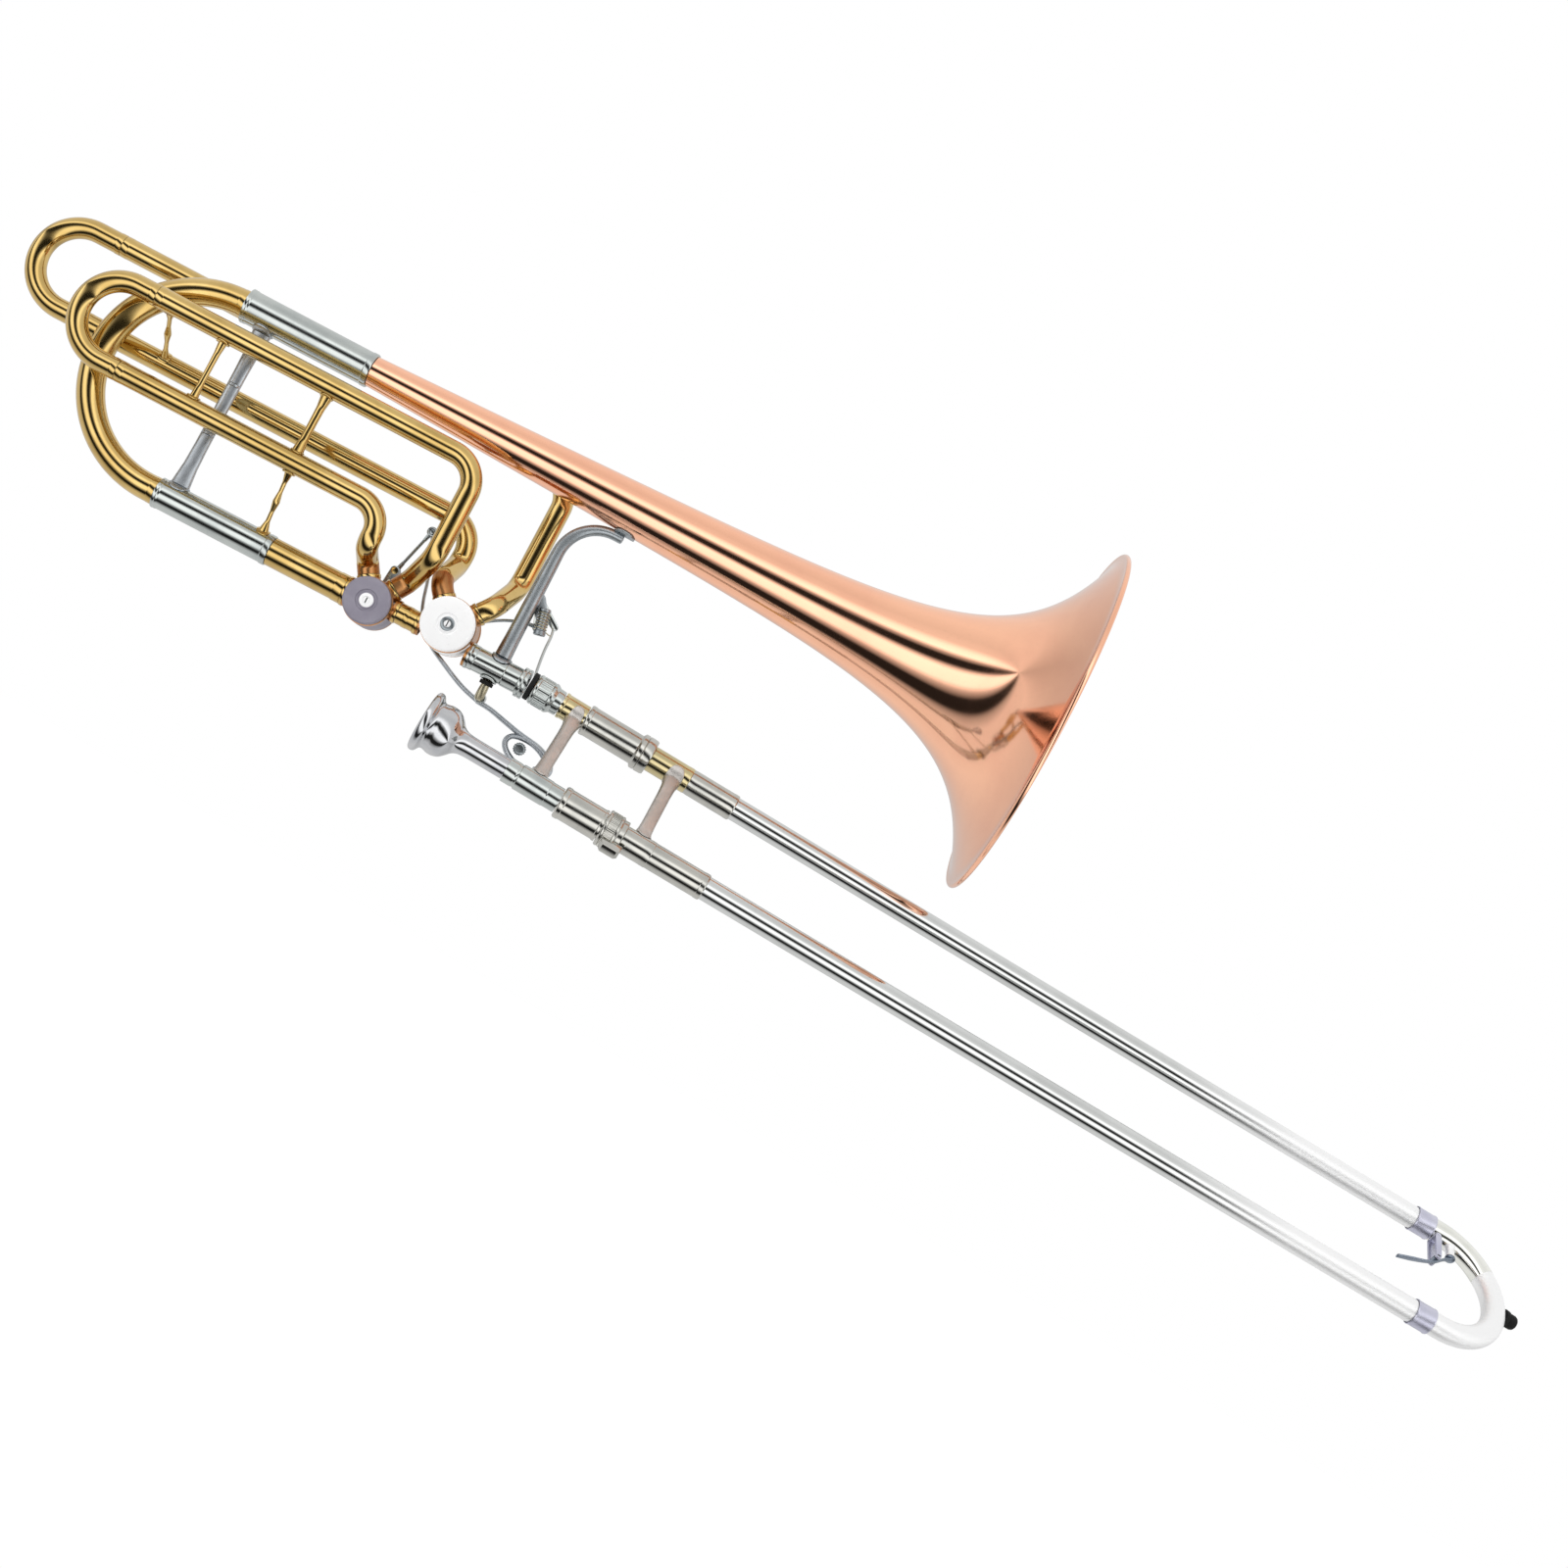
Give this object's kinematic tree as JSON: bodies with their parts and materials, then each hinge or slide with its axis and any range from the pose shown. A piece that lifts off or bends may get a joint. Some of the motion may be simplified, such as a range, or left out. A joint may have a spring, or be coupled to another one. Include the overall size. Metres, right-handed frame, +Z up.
{
  "type": "bass trombone",
  "caption": "Bass trombone with a flared bell, in-line rotary valves and their loops, thumb and finger triggers, tuning slides, a hand slide with a water key, and a mouthpiece.",
  "frame": {"origin": "on the axis of the upper hand slide tube, in the middle of the nut that joins the bell section to the hand slide", "axes": "+X along the hand slide towards its bow, +Z up towards the bell, +Y away from the side that shows the valves' caps"},
  "size_m": [1.1926, 0.2436, 0.3448],
  "materials": {
    "lacquered_brass": "clear lacquer over polished yellow brass",
    "rose_brass": "clear lacquer over polished rose brass",
    "nickel_silver": "polished nickel silver",
    "chromed_tube": "bright plating",
    "steel": "satin",
    "grey_cap": "satin grey",
    "bright_cap": "bright",
    "black_rubber": "matt",
    "copper_casing": "lacquered red brass"
  },
  "bodies": {
    "bell_section": {"bell": "rose_brass", "upper_tuning_sleeve": "nickel_silver", "lower_tuning_sleeve": "nickel_silver", "gooseneck": "lacquered_brass", "valve_link_tube": "lacquered_brass", "receiver": "nickel_silver", "f_valve_casing": "copper_casing", "f_valve_cap": "bright_cap", "f_valve_back_plate": "lacquered_brass", "g_valve_casing": "copper_casing", "g_valve_cap": "grey_cap", "g_valve_back_plate": "lacquered_brass", "f_loop_low_tube": "lacquered_brass", "f_loop_top_tube": "lacquered_brass", "g_loop_low_tube": "lacquered_brass", "g_loop_top_tube": "lacquered_brass", "tuning_slide_brace": "nickel_silver", "loop_brace_left": "lacquered_brass", "loop_brace_right": "lacquered_brass", "loop_post": "lacquered_brass", "loop_tie": "lacquered_brass", "hand_brace": "nickel_silver", "joint_ring": "black_rubber", "thumb_lever_bracket": "nickel_silver", "finger_lever_post": "nickel_silver", "upper_inner_tube": "chromed_tube", "lower_inner_tube": "chromed_tube", "slide_neck": "lacquered_brass", "mouthpiece_holder": "nickel_silver", "upper_cork_barrel": "nickel_silver", "lower_cork_barrel": "nickel_silver", "inner_brace": "nickel_silver"},
    "f_rotor": {"f_valve_rotor": "lacquered_brass", "f_rotor_arm": "steel"},
    "g_rotor": {"g_valve_rotor": "lacquered_brass", "g_rotor_arm": "steel"},
    "f_link_rod": {"f_link": "steel"},
    "g_link_rod": {"g_link": "steel"},
    "thumb_trigger": {"thumb_lever": "nickel_silver"},
    "finger_trigger": {"finger_lever": "nickel_silver"},
    "f_tuning_slide": {"f_tuning_bow": "lacquered_brass"},
    "g_tuning_slide": {"g_tuning_bow": "lacquered_brass"},
    "main_tuning_slide": {"main_tuning_bow": "lacquered_brass", "main_upper_leg": "nickel_silver", "main_lower_leg": "nickel_silver"},
    "hand_slide": {"upper_outer_tube": "chromed_tube", "lower_outer_tube": "chromed_tube", "upper_grip_sleeve": "lacquered_brass", "lower_grip_sleeve": "nickel_silver", "outer_brace": "nickel_silver", "upper_bow_ferrule": "nickel_silver", "lower_bow_ferrule": "nickel_silver", "slide_bow": "chromed_tube", "bumper": "black_rubber", "water_key_post": "nickel_silver"},
    "water_key_lever": {"water_key": "nickel_silver"},
    "slide_lock": {"slide_lock_ring": "nickel_silver"},
    "lock_nut": {"bell_lock_nut": "nickel_silver"},
    "mouthpiece": {"mouthpiece": "chromed_tube"}
  },
  "joints": [
    {"name": "hand_slide_travel", "type": "slide", "parent": "bell_section", "child": "hand_slide", "axis": [1, 0, 0], "range_m": [0, 0.56]},
    {"name": "main_tuning_travel", "type": "slide", "parent": "bell_section", "child": "main_tuning_slide", "axis": [-0.9969, 0.0522, -0.0593], "range_m": [0, 0.06]},
    {"name": "f_tuning_travel", "type": "slide", "parent": "bell_section", "child": "f_tuning_slide", "axis": [-0.9969, 0.0522, -0.0593], "range_m": [0, 0.055]},
    {"name": "g_tuning_travel", "type": "slide", "parent": "bell_section", "child": "g_tuning_slide", "axis": [-0.9969, 0.0522, -0.0593], "range_m": [0, 0.055]},
    {"name": "f_rotor_turn", "type": "hinge", "parent": "bell_section", "child": "f_rotor", "pos_m": [-0.07439, 0.0039, 0.00609], "axis": [-0.0523, -0.9986, 0], "range_deg": [0, 90]},
    {"name": "g_rotor_turn", "type": "hinge", "parent": "bell_section", "child": "g_rotor", "pos_m": [-0.12561, 0.00658, -0.00747], "axis": [-0.0523, -0.9986, 0], "range_deg": [0, 90]},
    {"name": "thumb_lever_press", "type": "hinge", "parent": "bell_section", "child": "thumb_trigger", "pos_m": [-0.03604, 0.00189, 0.05095], "axis": [0.0523, 0.9986, 0], "range_deg": [0, 35.5], "stiffness_Nm_per_rad": 0.12, "springref_deg": -20.05},
    {"name": "finger_lever_press", "type": "hinge", "parent": "bell_section", "child": "finger_trigger", "pos_m": [-0.03564, 0.00187, -0.02316], "axis": [-0.0523, -0.9986, 0], "range_deg": [0, 18.6], "stiffness_Nm_per_rad": 0.2, "springref_deg": -20.05},
    {"name": "f_link_swing", "type": "hinge", "parent": "thumb_trigger", "child": "f_link_rod", "pos_m": [-0.02914, 0.00153, 0.03583], "axis": [-0.0523, -0.9986, 0], "range_deg": [0, 35.8]},
    {"name": "g_link_swing", "type": "hinge", "parent": "finger_trigger", "child": "g_link_rod", "pos_m": [-0.12025, 0.0063, 0.05395], "axis": [-0.0523, -0.9986, 0], "range_deg": [-28.1, 0]},
    {"name": "water_key_lift", "type": "hinge", "parent": "hand_slide", "child": "water_key_lever", "pos_m": [0.6918, -0.02179, -0.01678], "axis": [0, 0.6101, -0.7923], "range_deg": [0, 15], "stiffness_Nm_per_rad": 0.02, "springref_deg": -28.65},
    {"name": "slide_lock_turn", "type": "hinge", "parent": "bell_section", "child": "slide_lock", "pos_m": [0.08, -0.06893, -0.05308], "axis": [1, 0, 0], "range_deg": [0, 45]},
    {"name": "lock_nut_turn", "type": "hinge", "parent": "bell_section", "child": "lock_nut", "pos_m": [0, 0, 0], "axis": [1, 0, 0], "continuous": true},
    {"name": "mouthpiece_pull", "type": "slide", "parent": "bell_section", "child": "mouthpiece", "axis": [-1, 0, 0], "range_m": [0, 0.032]}
  ],
  "couplings": [
    {"joint": "thumb_lever_press", "follows": "f_rotor_turn", "ratio": 0.389},
    {"joint": "f_link_swing", "follows": "f_rotor_turn", "ratio": 0.39238},
    {"joint": "finger_lever_press", "follows": "g_rotor_turn", "ratio": 0.20133},
    {"joint": "g_link_swing", "follows": "g_rotor_turn", "ratio": -0.30647}
  ]
}
